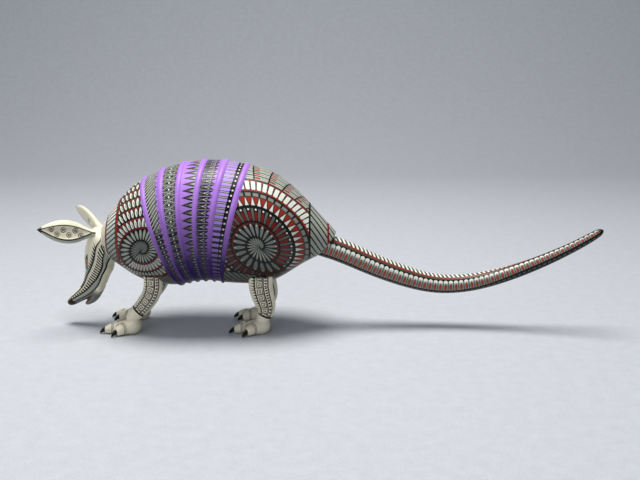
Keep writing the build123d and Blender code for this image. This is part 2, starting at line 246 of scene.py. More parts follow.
def flank_rise(shell):
    """The distance of each point around its ring from the middle of the flank, upwards."""
    edges = np.linalg.norm(np.diff(np.concatenate([shell, shell[:, :1]], 1), axis=1), axis=2)
    around = np.concatenate([np.zeros((len(shell), 1)), np.cumsum(edges, 1)[:, :-1]], 1)
    half = edges.sum(1, keepdims=True) / 2
    return np.minimum(around, 2 * half - around) - half / 2


def circle_rings(origin, axis, radii, reaches, columns):
    """Round rings about an axis, drawn in the same order as the trunk's rings."""
    axis = unit(axis)
    side = unit(SIDEWAYS - axis * (SIDEWAYS @ axis))
    up = np.cross(axis, side)
    up = up * np.sign(up[2])
    radii, reaches = np.asarray(radii, float)[:, None], np.asarray(reaches, float)[:, None]
    return rings(np.asarray(origin) + reaches * axis, radii * up, radii * side, columns)


# ---- Frames of the joints ----

NECK_CENTRE = np.array([WAIST_X - 76.3, 0, 67.6])
HEAD_TURN = math.radians(9.0)
HEAD_X = np.array([math.cos(HEAD_TURN), -math.sin(HEAD_TURN), 0])
HEAD_Y = np.array([math.sin(HEAD_TURN), math.cos(HEAD_TURN), 0])
TAIL_SLOPE = math.radians(18.0)
TAIL_OUT = np.array([math.cos(TAIL_SLOPE), 0, -math.sin(TAIL_SLOPE)])
TAIL_SEAT_DEPTH = 9.0
TAIL_SEAT = np.array([WAIST_X + 95.9, 0, 67.0]) - TAIL_OUT * TAIL_SEAT_DEPTH
TAIL_ROOT_RADIUS, TAIL_SEAT_GAP = 9.3, 0.4
TAIL_PEG_RADIUS, TAIL_PEG_HOLE = 4.05, 16.5


def in_head(points):
    """Points in the head's own frame, as points of the figure."""
    points = np.asarray(points, float)
    return NECK_CENTRE + points[..., 0:1] * HEAD_X + points[..., 1:2] * HEAD_Y + points[..., 2:3] * UPWARDS


def to_head(points):
    """Points of the figure, in the head's own frame."""
    offset = np.asarray(points, float) - NECK_CENTRE
    return np.stack([offset @ HEAD_X, offset @ HEAD_Y, offset @ UPWARDS], -1)


EAR_RISE = {-1: 8.0, 1: 15.0}  # how much the left ear and the right ear point upwards


def ear_frame(side):
    """An ear's seat, its axis, the way its hollow faces and the way across it. side is -1 on the left."""
    seat = in_head((-9.0, side * 7.5, 10.0))
    out = unit(in_head((-45.0, side * 36.5, 10.0 + EAR_RISE[side])) - seat)
    face = in_head((0.65, side * 0.67, 0.37)) - NECK_CENTRE
    across = unit(np.cross(face, out))
    return seat, out, np.cross(out, across), across


# ---- Trunk ----


def seat_rings(last_ring):
    """The rings that go on from the rear collar's rim into the tail's seat and its peg hole."""
    middle = last_ring.mean(0)
    across = unit(np.cross(last_ring[0] - middle, last_ring[TRUNK_COLUMNS // 4] - middle))
    mouth = circle_rings(TAIL_SEAT, TAIL_OUT, [TAIL_ROOT_RADIUS + TAIL_SEAT_GAP], [0], TRUNK_COLUMNS)[0]
    mouth = mouth + TAIL_OUT * (((middle - mouth) @ across) / (TAIL_OUT @ across))[:, None]
    lip = [last_ring + (mouth - last_ring) * share - TAIL_OUT * sink
           for share, sink in ((0.05, 0.0), (0.14, 0.15), (0.5, 0.5), (0.9, 0.6), (1.0, 0.9))]
    lip[0] = lip[0] + TAIL_OUT * 0.25
    seat_radius = TAIL_ROOT_RADIUS + TAIL_SEAT_GAP
    radii = [seat_radius, seat_radius, 9.2, 4.4, TAIL_PEG_RADIUS, TAIL_PEG_RADIUS, TAIL_PEG_RADIUS]
    reaches = [0.9, 0.4, 0.0, 0.0, -0.3, -1.0, -TAIL_PEG_HOLE]
    return np.concatenate([np.stack(lip), circle_rings(TAIL_SEAT, TAIL_OUT, radii, reaches, TRUNK_COLUMNS)])


def make_trunk():
    """The trunk, and the fan place of each ring. u and v are the mm behind the waist and up the flank."""
    shell, fan_place, rise = trunk()
    seat = seat_rings(shell[-1])
    nose_rim = shell[0].mean(0) + (shell[0] - shell[0].mean(0)) * 0.97 + (shell[0] - shell[2]).mean(0) * 0.2
    stack = np.concatenate([nose_rim[None], shell, seat])
    fan, rise = (np.concatenate([values[:1], values, np.repeat(values[-1:], len(seat), 0)])
                 for values in (fan_place[:, None], rise))
    from_waist = stack[:, :, 0] - WAIST_X
    band = math.radians(FAN_STEP) * np.hypot(from_waist - FAN_LINE[0], stack[:, :, 2] - FAN_LINE[1])
    piece = skin("painted_trunk", stack, {"u": from_waist, "v": rise, "fan": fan, "band": band})
    return piece, fan[:, 0]


# ---- Tail ----

TAIL_COLUMNS = 72
# Points along the tail behind its round root: x from the waist, y, z and radius
TAIL_LINE = (
    (133.0, 0.0, 51.9, 8.9),
    (158.0, -0.3, 42.4, 8.4),
    (183.0, -1.2, 36.2, 7.7),
    (205.0, -2.8, 36.2, 7.2),
    (233.5, -6.0, 42.6, 6.2),
    (260.0, -9.8, 53.0, 5.2),
    (277.0, -12.6, 61.4, 4.6),
    (294.0, -15.4, 71.0, 3.9),
    (307.0, -17.4, 79.4, 3.2),
    (312.2, -18.3, 83.0, 2.4),
)


def make_tail():
    straight = [TAIL_SEAT + TAIL_OUT * reach for reach in (0.1, 8.0, 16.0)]
    points = [[*point, TAIL_ROOT_RADIUS] for point in straight]
    points += [[WAIST_X + x, y, z, radius] for x, y, z, radius in TAIL_LINE]
    points = np.array(points)
    knots = run_length(points[:, :3])
    along = np.linspace(0, knots[-1], 300)
    line = spline(knots, points, along)
    # The tip is half an ellipsoid
    to_tip = np.clip((knots[-1] - along) / 5.5, 0, 1)
    radius = line[:, 3] * np.sqrt(np.clip(1 - (1 - to_tip) ** 2.4, 0.004, 1))
    radius[0] -= 0.25
    forward = unit(np.gradient(line[:, :3], axis=0))
    side = unit(SIDEWAYS - forward * forward[:, 1:2])
    up = np.cross(side, forward) * -1
    stack = rings(line[:, :3], up * radius[:, None], side * radius[:, None], TAIL_COLUMNS)
    hole = circle_rings(TAIL_SEAT, TAIL_OUT, [TAIL_PEG_RADIUS, TAIL_PEG_RADIUS, TAIL_PEG_RADIUS + 0.2, 8.9],
                        [TAIL_PEG_HOLE, 0.4, 0.1, 0.0], TAIL_COLUMNS)
    stack = np.concatenate([hole, stack])
    angle = np.abs(ring_angles(TAIL_COLUMNS) - math.pi)[None, :]
    reach = np.concatenate([np.zeros(len(hole)), along])[:, None]
    girth = np.concatenate([np.full(len(hole), TAIL_ROOT_RADIUS), line[:, 3]])[:, None]
    return skin("painted_tail", stack, {"along": reach, "around": angle, "girth": girth})


# ---- Ears ----

# distance along the axis, half width, half thickness
EAR_LINE = (
    (0.3, 3.0, 3.0),
    (5.0, 4.0, 2.9),
    (12.0, 7.2, 3.2),
    (22.0, 9.3, 3.3),
    (32.0, 7.6, 2.8),
    (40.0, 3.6, 1.8),
    (44.5, 0.5, 0.5),
)
EAR_COLUMNS = 120
EAR_PEG_HOLE, EAR_HOLE_DEPTH, EAR_SEAT_RADIUS = 1.65, 6.5, 3.5
EAR_BACK = -9.0  # stands for the distance from the hollow's edge on the ear's back


def make_ear(side, name):
    """A leaf with a hollow whose edge runs inside its own outline, a thicker lip above than below."""
    seat, out, face, across = ear_frame(side)
    across = across * np.sign(across[2])
    line = np.array(EAR_LINE)
    reach = np.concatenate([[0.3, 0.5], np.linspace(0.9, 43.6, 150), [44.0, 44.3, 44.5]])
    widths = spline(line[:, 0], line[:, 1:], reach)
    half_width, half_thickness = np.maximum(widths.T, 0.3)[..., None]
    angle = ring_angles(EAR_COLUMNS)[None, :]
    x, y = half_width * np.sin(angle), -half_thickness * np.cos(angle)
    # The hollow narrows to a point at both ends
    start, end = 3.5, 43.5
    share = np.clip((reach - start) / (end - start), 0, 1)[:, None]
    room = np.clip(np.sin(math.pi * share), 0, 1) ** 0.35
    upper_edge, lower_edge = half_width * 0.48 * room, -half_width * 0.74 * room
    middle, half = (upper_edge + lower_edge) / 2, np.maximum((upper_edge - lower_edge) / 2, 1e-3)
    from_edge = half - np.abs(x - middle)
    hollow = (y > 0) & (share > 0) & (share < 1)
    wall = smooth(from_edge, 0, 1.3)
    bowl = np.sqrt(np.clip(1 - ((x - middle) / half) ** 2, 0, 1))
    depth = np.where(hollow, (0.9 * wall + 1.9 * bowl * room) * np.clip(half / 4, 0, 1), 0)
    depth = np.minimum(depth, np.clip(y + half_thickness * 0.35, 0, None))
    y = y - np.where(hollow, depth, 0)
    from_edge = np.where(np.cos(angle) < 0.0, from_edge, EAR_BACK)
    # The peg's hole comes before the root
    hole_radius = [0.5, EAR_PEG_HOLE - 0.05, EAR_PEG_HOLE, EAR_PEG_HOLE, EAR_PEG_HOLE + 0.2, 2.5]
    hole_radius = np.array(hole_radius)[:, None]
    hole_reach = [EAR_HOLE_DEPTH, EAR_HOLE_DEPTH, EAR_HOLE_DEPTH - 0.1, 0.35, 0.15, 0.15]
    reach = np.concatenate([hole_reach, reach])
    x = np.vstack([hole_radius * np.sin(angle), x])
    y = np.vstack([-hole_radius * np.cos(angle), y])
    from_edge = np.vstack([np.full((len(hole_reach), EAR_COLUMNS), EAR_BACK), from_edge])
    stack = seat + out * reach[:, None, None] + across * x[..., None] + face * y[..., None]
    return skin(name, stack, {"reach": reach[:, None], "across": x, "edge": from_edge})


# ---- Carved solids: overlapping skins run together into one ----


def evaluated_mesh(piece):
    """The mesh that a piece's modifiers give."""
    return bpy.data.meshes.new_from_object(piece.evaluated_get(bpy.context.evaluated_depsgraph_get()))


def carve(name, skins, voxel, rounds):
    """One smooth closed mesh around several overlapping skins."""
    bpy.ops.object.select_all(action="DESELECT")
    for part in skins:
        part.select_set(True)
    bpy.context.view_layer.objects.active = skins[0]
    bpy.ops.object.join()
    rough = skins[0]
    remesh = rough.modifiers.new("remesh", "REMESH")
    remesh.mode, remesh.voxel_size = "VOXEL", voxel * MM
    relax = rough.modifiers.new("relax", "SMOOTH")
    relax.factor, relax.iterations = 0.5, rounds
    mesh = evaluated_mesh(rough)
    bpy.data.objects.remove(rough)
    if "sharp_face" in mesh.attributes:
        mesh.attributes.remove(mesh.attributes["sharp_face"])
    return link_smooth(name, mesh)


def cut_away(piece, cutter):
    """Takes the cutter's volume out of a piece, and removes the cutter."""
    cut = piece.modifiers.new("cut", "BOOLEAN")
    cut.operation, cut.solver, cut.object = "DIFFERENCE", "EXACT", cutter
    mesh = evaluated_mesh(piece)
    piece.modifiers.clear()
    piece.data = mesh
    bpy.data.objects.remove(cutter)


def points_of(piece):
    points = np.zeros(len(piece.data.vertices) * 3)
    piece.data.vertices.foreach_get("co", points)
    return points.reshape(-1, 3) / MM


def move_points(piece, points):
    piece.data.vertices.foreach_set("co", (np.asarray(points) * MM).ravel())
    piece.data.update()


POINTS_AT_ONCE = 20000


def along_line(points, line):
    """How far along a line of points each point lies, and its offset from the line there."""
    length = run_length(line)
    blocks = np.array_split(points, len(points) // POINTS_AT_ONCE + 1)
    nearest = np.concatenate([((block[:, None] - line) ** 2).sum(2).argmin(1) for block in blocks])
    forward = unit(np.gradient(line, axis=0))[nearest]
    offset = points - line[nearest]
    ahead = (offset * forward).sum(1)
    return length[nearest] + ahead, offset - forward * ahead[:, None], forward


# ---- Head ----

NECK_OUT = -unit([28.0, 0, 9.8])
NECK_UP = unit([-9.8, 0, 28.0])
NECK_HALF_HEIGHT, NECK_HALF_WIDTH = 12.2, 13.0
# front point (x, z), rear point (x, z) and half width, in the head's own frame
HEAD_SECTIONS = (
    ((-10.0, 14.0), (2.6, -15.0), 13.0),
    ((-17.6, 5.0), (1.6, -20.5), 12.6),
    ((-20.8, -9.0), (-1.8, -26.5), 11.2),
    ((-21.0, -20.5), (-4.9, -33.0), 9.4),
    ((-23.8, -31.2), (-11.0, -39.6), 7.4),
    ((-29.6, -39.0), (-20.4, -45.4), 5.8),
    ((-35.0, -44.2), (-29.2, -49.8), 4.8),
    ((-37.6, -47.0), (-33.6, -51.6), 3.8),
    ((-38.6, -48.8), (-35.8, -52.0), 2.4),
)
JAW_SECTIONS = (
    ((-9.5, -25.4), (-5.2, -28.4), 4.6),
    ((-11.4, -31.6), (-5.6, -34.4), 6.0),
    ((-15.6, -38.4), (-9.0, -41.4), 5.4),
    ((-19.4, -44.4), (-13.6, -47.2), 4.2),
    ((-22.4, -48.0), (-18.8, -50.2), 3.2),
    ((-23.4, -49.2), (-21.0, -51.0), 1.8),
)


def section_rings(sections, count, columns):
    """Rings through cross-sections of the head, and the sections' own outline points."""
    table = np.array([[*front, *rear, width] for front, rear, width in sections])
    knots = run_length((table[:, 0:2] + table[:, 2:4]) / 2)
    line = spline(knots, table, np.linspace(0, knots[-1], count))
    front, rear, width = line[:, 0:2], line[:, 2:4], line[:, 4]
    half = (front - rear) / 2
    centres = in_head(in_plane((front + rear) / 2))
    ups = half[:, 0:1] * HEAD_X + half[:, 1:2] * UPWARDS
    return rings(centres, ups, width[:, None] * HEAD_Y, columns), front, rear


def head_coordinates(points, front, rear):
    """How far down the head each point lies, and how far from its rear edge (0) to its front edge (1)."""
    local = to_head(points)[:, [0, 2]]
    across = front - rear
    span = np.linalg.norm(across, axis=1)
    offset = local[:, None] - rear
    beyond = (across[:, 0] * offset[..., 1] - across[:, 1] * offset[..., 0]) / span
    passed = np.clip((beyond * np.sign(beyond[:, :1] + 1e-9) > 0).cumprod(1).sum(1) - 1, 0, len(span) - 2)
    row = np.arange(len(local))
    here, there = beyond[row, passed], beyond[row, passed + 1]
    place = np.clip(passed + here / np.where(np.abs(here - there) < 1e-9, 1, here - there), 0, len(span) - 1)
    length = run_length((front + rear) / 2)
    low = np.minimum(place.astype(int), len(span) - 2)
    part = (place - low)[:, None]
    from_rear = local - rear[low] * (1 - part) - rear[low + 1] * part
    width = across[low] * (1 - part) + across[low + 1] * part
    fraction = (from_rear * width).sum(1) / (width**2).sum(1)
    return np.interp(place, range(len(span)), length), fraction


def make_head():
    back, up = -0.330 * NECK_HALF_HEIGHT, 0.944 * NECK_HALF_HEIGHT
    neck_ring = ((back, up), (-back, -up), NECK_HALF_WIDTH)
    stack, front, rear = section_rings((neck_ring,) + HEAD_SECTIONS, 110, 64)
    depths = (9.8, 6, 3, 1, -1)
    stub = rings([NECK_CENTRE - NECK_OUT * depth for depth in depths],
                 [NECK_UP * NECK_HALF_HEIGHT] * len(depths), [SIDEWAYS * NECK_HALF_WIDTH] * len(depths), 64)
    jaw, jaw_front, jaw_rear = section_rings(JAW_SECTIONS, 40, 48)
    piece = carve("painted_head", [skin("upper", stack), skin("stub", stub), skin("jaw", jaw)], 0.42, 8)
    for side in (-1, 1):
        seat, out, _, _ = ear_frame(side)
        drill = circle_rings(seat, out, [EAR_PEG_HOLE, EAR_PEG_HOLE, EAR_SEAT_RADIUS, EAR_SEAT_RADIUS],
                             [-EAR_HOLE_DEPTH, -0.02, 0.0, 14.0], 48)
        cut_away(piece, skin("drill", drill))
    points = points_of(piece)
    down, fraction = head_coordinates(points, front, rear)
    write_field(piece, "down", down)
    write_field(piece, "front", fraction)
    write_field(piece, "jaw", head_coordinates(points, jaw_front, jaw_rear)[1])
    return piece


# ---- Legs ----

LEG_Y = 20.0
# x from the waist, z, half length and half width, going down from inside the trunk
FRONT_LEG = (
    (-38.8, 39.5, 7.4, 7.1),
    (-40.3, 33.5, 7.2, 6.9),
    (-43.8, 27.0, 6.8, 6.4),
    (-49.6, 20.0, 6.2, 5.9),
    (-56.2, 13.6, 5.2, 5.3),
)
REAR_LEG = (
    (45.4, 39.0, 9.4, 7.8),
    (46.4, 34.0, 9.2, 7.5),
    (48.0, 28.0, 8.6, 7.0),
    (49.6, 21.0, 7.2, 6.3),
    (48.4, 15.0, 5.6, 5.6),
    (46.0, 10.5, 5.0, 5.4),
)
# Sections of a foot ahead of the ankle: x, z, half height and half width
FOOT_PAD = (
    (6.4, 6.4, 2.6, 3.0),
    (4.6, 6.3, 4.8, 5.6),
    (1.0, 6.0, 6.4, 7.4),
    (-7.0, 5.0, 5.4, 8.6),
    (-13.0, 3.8, 4.0, 8.0),
)
# Toes: start as x from the ankle, side step towards the middle, turn outwards in degrees and length
TOES = ((-5.0, -4.0, 40.0, 7.6), (-9.0, 0.0, 5.0, 12.0), (-8.4, 4.8, -14.0, 9.2))
CLAW_REACH = 5.2
LEG_HIDDEN_TOP = 8.0  # how far a leg goes on up inside the trunk


def toe_path(toe, ankle_x, side):
    """A toe's root, the way it points and its length."""
    start, side_step, splay, length = toe
    root = np.array([ankle_x + start, side * (LEG_Y - side_step), 0])
    turn = math.radians(splay)
    return root, np.array([-math.cos(turn), side * math.sin(turn), 0]), length


def upright(vectors, axis, sign):
    """The vectors, each turned to its other way where its part along an axis hasn't this sign."""
    return vectors * (sign * np.sign(vectors[:, axis : axis + 1]))


def shank_skin(stations, side):
    """The leg above its foot, and its middle line."""
    table = np.array(stations)
    middle = in_plane(table[:, :2]) + [WAIST_X, side * LEG_Y, 0]
    knots = run_length(middle)
    shank = spline(knots, np.hstack([middle, table[:, 2:]]), np.linspace(0, knots[-1], 60))
    top = shank[:1] + np.array([[0, 0, LEG_HIDDEN_TOP, 0, 0]])
    foot_end = shank[-1:] + np.array([[0.4, 0, -4.5, -0.6, -0.6]])
    shank = np.vstack([top, shank, foot_end])
    centre = shank[:, :3]
    ahead = upright(unit(np.cross(SIDEWAYS, unit(np.gradient(centre, axis=0)))), 0, -1)
    return skin("shank", rings(centre, ahead * shank[:, 3:4], SIDEWAYS * shank[:, 4:5], 48)), centre


def pad_skin(ankle_x, side):
    pad = spline(range(len(FOOT_PAD)), FOOT_PAD, np.linspace(0, len(FOOT_PAD) - 1, 24))
    centres = in_plane(pad[:, :2]) + [ankle_x, side * LEG_Y, 0]
    return skin("pad", rings(centres, pad[:, 2:3] * UPWARDS, pad[:, 3:4] * SIDEWAYS, 40))


def toe_skins(toe, ankle_x, side):
    """A toe and its claw."""
    root, out, length = toe_path(toe, ankle_x, side)
    across = np.cross(UPWARDS, out)
    # distance from the toe's root, height and radius
    toe_sections = ((-2, 4.2, 3.0), (0, 4.2, 3.8), (length * 0.5, 4.4, 4.0), (length * 0.82, 3.7, 3.5),
                    (length, 3.1, 2.7), (length + 0.9, 2.9, 1.4))
    claw_sections = ((length - 2.5, 3.9, 1.9), (length + 0.5, 3.7, 2.0), (length + 2.6, 2.8, 1.6),
                     (length + 4.2, 1.5, 1.0), (length + CLAW_REACH, 0.55, 0.35))
    for sections in (toe_sections, claw_sections):
        path = spline(range(len(sections)), sections, np.linspace(0, len(sections) - 1, 20))
        middle = root + path[:, 0:1] * out + UPWARDS * path[:, 1:2]
        lift = upright(np.cross(unit(np.gradient(middle, axis=0)), across), 2, 1)
        yield skin("toe", rings(middle, lift * path[:, 2:], across * path[:, 2:], 32))


def toe_coordinates(points, ankle_x, side):
    """How far each point lies past the end of its nearest toe, and how much farther off the next toe is."""
    past, sideways = [], []
    for toe in TOES:
        root, out, length = toe_path(toe, ankle_x, side)
        past.append((points - root) @ out - length)
        sideways.append(np.abs((points - root) @ np.cross(UPWARDS, out)))
    nearest = np.stack(sideways).argmin(0)
    ordered = np.sort(sideways, 0)
    return np.take_along_axis(np.stack(past), nearest[None], 0)[0], ordered[1] - ordered[0]


def make_leg(name, stations, side):
    ankle_x = stations[-1][0] + WAIST_X
    shank, centre = shank_skin(stations, side)
    skins = [shank, pad_skin(ankle_x, side)]
    for toe in TOES:
        skins.extend(toe_skins(toe, ankle_x, side))
    piece = carve(name, skins, 0.4, 4)
    points = points_of(piece)
    points[:, 2] = np.maximum(points[:, 2], 0)
    move_points(piece, points)
    share, dense_share = np.linspace(0, 1, len(centre)), np.linspace(0, 1, 240)
    dense = np.stack([np.interp(dense_share, share, centre[:, k]) for k in range(3)], 1)
    down, offset, direction = along_line(points, dense)
    ahead = upright(unit(np.cross(SIDEWAYS, direction)), 0, -1)
    claw, slit = toe_coordinates(points, ankle_x, side)
    write_field(piece, "down", down - LEG_HIDDEN_TOP)
    write_field(piece, "around", np.abs(np.arctan2(np.abs(offset[:, 1]), (offset * ahead).sum(1))))
    write_field(piece, "claw", claw)
    write_field(piece, "slit", slit)
    return piece


# ---- Nodes as arithmetic ----


class Number:
    """A number in the material that is being painted: arithmetic on it adds nodes."""

    tree = None

    def __init__(self, source):
        self.source = source

    def feed(self, socket):
        if isinstance(self.source, bpy.types.NodeSocket):
            Number.tree.links.new(self.source, socket)
        else:
            socket.default_value = self.source

    def __add__(self, other):
        return calculate("ADD", self, other)

    def __sub__(self, other):
        return calculate("SUBTRACT", self, other)

    def __mul__(self, other):
        return calculate("MULTIPLY", self, other)

    def __truediv__(self, other):
        return calculate("DIVIDE", self, other)

    def __rsub__(self, other):
        return calculate("SUBTRACT", other, self)

    def __rtruediv__(self, other):
        return calculate("DIVIDE", other, self)

    def __neg__(self):
        return calculate("MULTIPLY", self, -1.0)

    def __abs__(self):
        return calculate("ABSOLUTE", self)

    __radd__, __rmul__ = __add__, __mul__


def number(value):
    return value if isinstance(value, Number) else Number(value)


def calculate(operation, *values, clamp=False):
    node = Number.tree.nodes.new("ShaderNodeMath")
    node.operation, node.use_clamp = operation, clamp
    for socket, value in zip(node.inputs, values):
        number(value).feed(socket)
    return Number(node.outputs[0])


def smallest(first, *others):
    for other in others:
        first = calculate("MINIMUM", first, other)
    return first


def largest(first, *others):
    for other in others:
        first = calculate("MAXIMUM", first, other)
    return first


def square_root(value):
    return calculate("SQRT", largest(value, 0.0))


def distance(x, y):
    return square_root(x * x + y * y)


def share_of_turn(x, y):
    """The angle of a place about the origin, as a share of a full turn."""
    return calculate("ARCTAN2", y, x) / math.tau


def inside(depth, softness=0.14):
    """1 where depth is above 0, with an edge as soft as wet paint. depth is in mm."""
    return calculate("MULTIPLY_ADD", depth, 1 / softness, 0.5, clamp=True)


def field(name):
    """A number that the mesh stores at each of its points."""
    node = Number.tree.nodes.new("ShaderNodeAttribute")
    node.attribute_name = name
    return Number(node.outputs["Fac"])


def curve(value, points):
    """A smooth curve through points of value and result."""
    points = np.array(points, float)
    low, high = points.min(0), points.max(0)
    span = np.where(high > low, high - low, 1)
    node = Number.tree.nodes.new("ShaderNodeFloatCurve")
    ((value - float(low[0])) / float(span[0])).feed(node.inputs["Value"])
    handles = node.mapping.curves[0].points
    ordered = (points - low) / span
    for x, y in ordered[1:-1]:
        handles.new(x, y)
    for handle, (x, y) in zip(handles, ordered):
        handle.location = (x, y)
    node.mapping.update()
    return Number(node.outputs[0]) * float(span[1]) + float(low[1])


def noise(scale, detail=2.0, stretch=(1, 1, 1)):
    """Noise over the piece, with features about scale mm wide."""
    place = Number.tree.nodes.new("ShaderNodeTexCoord")
    mapping = Number.tree.nodes.new("ShaderNodeMapping")
    mapping.inputs["Scale"].default_value = [1 / (scale * MM * factor) for factor in stretch]
    texture = Number.tree.nodes.new("ShaderNodeTexNoise")
    texture.inputs["Scale"].default_value = 1.0
    texture.inputs["Detail"].default_value = detail
    Number.tree.links.new(place.outputs["Object"], mapping.inputs["Vector"])
    Number.tree.links.new(mapping.outputs["Vector"], texture.inputs["Vector"])
    return Number(texture.outputs["Fac"])


# ---- Coats of paint ----

BLACK = (0.004, 0.0035, 0.003)
INK = (0.008, 0.007, 0.006)
DARK_GREY = (0.070, 0.076, 0.070)
GREY = (0.20, 0.21, 0.18)
STONE = (0.26, 0.28, 0.25)
OLIVE = (0.065, 0.062, 0.040)
PALE = (0.42, 0.44, 0.37)
WHITE = (0.82, 0.84, 0.74)
RED = (0.30, 0.030, 0.015)
TAIL_RED = (0.42, 0.045, 0.02)
TOE_RED = (0.20, 0.018, 0.010)
DEEP_RED = (0.20, 0.012, 0.009)
WINE = (0.13, 0.012, 0.010)
LILAC = (0.44, 0.21, 0.72)
BRIGHT_LILAC = (0.50, 0.30, 0.84)
DULL_LILAC = (0.40, 0.28, 0.58)
# The next two colours are painted shade towards the belly: one for the lilac, one for the waist bands
LILAC_IN_SHADE = (0.026, 0.008, 0.10)
VIOLET_SHADE = (0.012, 0.004, 0.035)
CREAM = (0.84, 0.78, 0.60)
TURQUOISE = (0.02, 0.42, 0.40)
ORANGE = (0.62, 0.20, 0.02)
NOSE_TAN = (0.42, 0.24, 0.10)
MOUTH_BROWN = (0.11, 0.045, 0.010)
COPAL = (0.60, 0.42, 0.25)
COPAL_GRAIN = (0.36, 0.22, 0.11)
STUDIO_GREY = (0.55, 0.57, 0.60)


class Coat:
    """The colours on a piece so far. Each brush mark goes over what is there."""

    def __init__(self, name, ground):
        self.material = bpy.data.materials.new(name)
        self.material.use_nodes = True
        Number.tree = self.tree = self.material.node_tree
        paint = self.tree.nodes.new("ShaderNodeRGB")
        paint.outputs[0].default_value = (*ground, 1)
        self.colour = paint.outputs[0]

    def mix(self, share, first, second, blend="MIX"):
        """A colour between two, each a tuple or a node's output."""
        node = self.tree.nodes.new("ShaderNodeMix")
        node.data_type, node.blend_type = "RGBA", blend
        number(share).feed(node.inputs[0])
        for socket, colour in zip(node.inputs[6:8], (first, second)):
            if isinstance(colour, tuple):
                socket.default_value = (*colour, 1)
            else:
                self.tree.links.new(colour, socket)
        return node.outputs[2]

    def brush(self, mask, colour):
        self.colour = self.mix(mask, self.colour, colour)

    def within(self, area):
        """A brush that only paints inside an area."""

        def paint(mask, colour):
            self.brush(area * mask, colour)

        return paint

    def varnish(self, roughness=0.40, relief=0.05, coat=0.07):
        """Uneven brushwork under satin varnish."""
        strokes = noise(1.6, 3.0, (1.0, 1.0, 2.2))
        value = 0.80 + strokes * 0.24 + noise(9.0) * 0.16
        grey = self.tree.nodes.new("ShaderNodeCombineColor")
        for socket in grey.inputs[:3]:
            value.feed(socket)
        shader = self.tree.nodes["Principled BSDF"]
        tinted = self.mix(1.0, self.colour, grey.outputs[0], "MULTIPLY")
        self.tree.links.new(tinted, shader.inputs["Base Color"])
        (roughness - 0.06 + strokes * 0.12).feed(shader.inputs["Roughness"])
        shader.inputs["Specular IOR Level"].default_value = 0.2
        shader.inputs["Coat Weight"].default_value = coat
        shader.inputs["Coat Roughness"].default_value = 0.25
        bump = self.tree.nodes.new("ShaderNodeBump")
        bump.inputs["Distance"].default_value = relief * MM
        bump.inputs["Strength"].default_value = 0.6
        (strokes + noise(0.5) * 0.4).feed(bump.inputs["Height"])
        self.tree.links.new(bump.outputs[0], shader.inputs["Normal"])
        return self.material


# ---- Brush marks ----


def repeat(place, pitch, shift=0.0):
    """mm from the middle of the nearest of marks a pitch apart, moved on by a share of the pitch."""
    return (calculate("FRACT", place / pitch + shift) - 0.5) * pitch


def stroke(offset, width):
    """A line of this width in mm where offset is 0."""
    return inside(width / 2 - abs(offset))


def bar(across, along, half_width, start, end):
    """A bar with square ends."""
    return inside(smallest(half_width - abs(across), along - start, end - along))


def wedge(across, along, half_width, foot, tip):
    """A triangle from its foot, where it is widest, to its tip."""
    share = (tip - along) / (tip - foot)
    return inside(smallest(share * half_width - abs(across), (1 - share) * 5.0))


def leaf(across, along, half_width, start, end):
    """A petal that is round at both ends."""
    middle, half = (start + end) / 2, (end - start) / 2
    bulge = square_root(1 - ((along - middle) / half) * ((along - middle) / half))
    return inside(half_width * bulge - abs(across))


def dot(across, along, place, radius):
    return inside(radius - distance(across, along - place))


# ---- The waist: five painted bands between the lilac ridges ----


def towards_belly(v):
    """0 on the upper flank, 1 on the belly."""
    share = calculate("MULTIPLY", 22.0 - v, 1 / 47.0, clamp=True)
    return calculate("POWER", share, 1.2)


def paint_belly_shade(coat, v, colour=BLACK, strength=0.8):
    """Painted shade: the colours are darkened towards the belly."""
    coat.brush(towards_belly(v) * strength, colour)


def ridge_paint():
    coat = Coat("lilac_ridges", LILAC)
    # Painted shade: the lilac darkens to violet towards the belly
    coat.brush(towards_belly(field("v")), LILAC_IN_SHADE)
    return coat.varnish()


def band_start(name, index, ground):
    """A coat for a waist band, with the mm from its front ridge, its width and the mm around it."""
    coat = Coat(name, ground)
    width = field("band")
    ahead = (field("fan") - float(index)) * width
    return coat, ahead, width, field("v")


def band_strokes():
    """Slanted strokes, black blocks with dots lower down, and a lilac zigzag on the rear side."""
    coat, ahead, width, v = band_start("band_strokes", 0, GREY)
    slant = repeat(v - ahead * 0.8, 3.1)
    coat.brush(stroke(slant, 1.5), INK)
    coat.brush(stroke(slant + 1.3, 0.5), WHITE)
    coat.brush(stroke(slant - 0.1, 0.35) * inside(ahead - width * 0.3), PALE)
    row = repeat(v, 4.2)
    low = coat.within(inside(6.0 - v, 8.0))
    low(inside(width - 3.4 - ahead), GREY)
    low(bar(row, ahead, 1.6, 2.0, width - 3.6), BLACK)
    low(dot(row, ahead, width * 0.42, 0.62), WHITE)
    coat.brush(inside(14.0 - v, 8.0) * dot(repeat(v, 4.2, 0.5), ahead, width * 0.62, 0.5), WHITE)
    zigzag = width - 4.6 + abs(repeat(v, 4.4, 0.5))
    coat.brush(inside(ahead - zigzag + 0.4), INK)
    coat.brush(inside(ahead - zigzag), LILAC)
    paint_belly_shade(coat, v, VIOLET_SHADE)
    return coat.varnish()


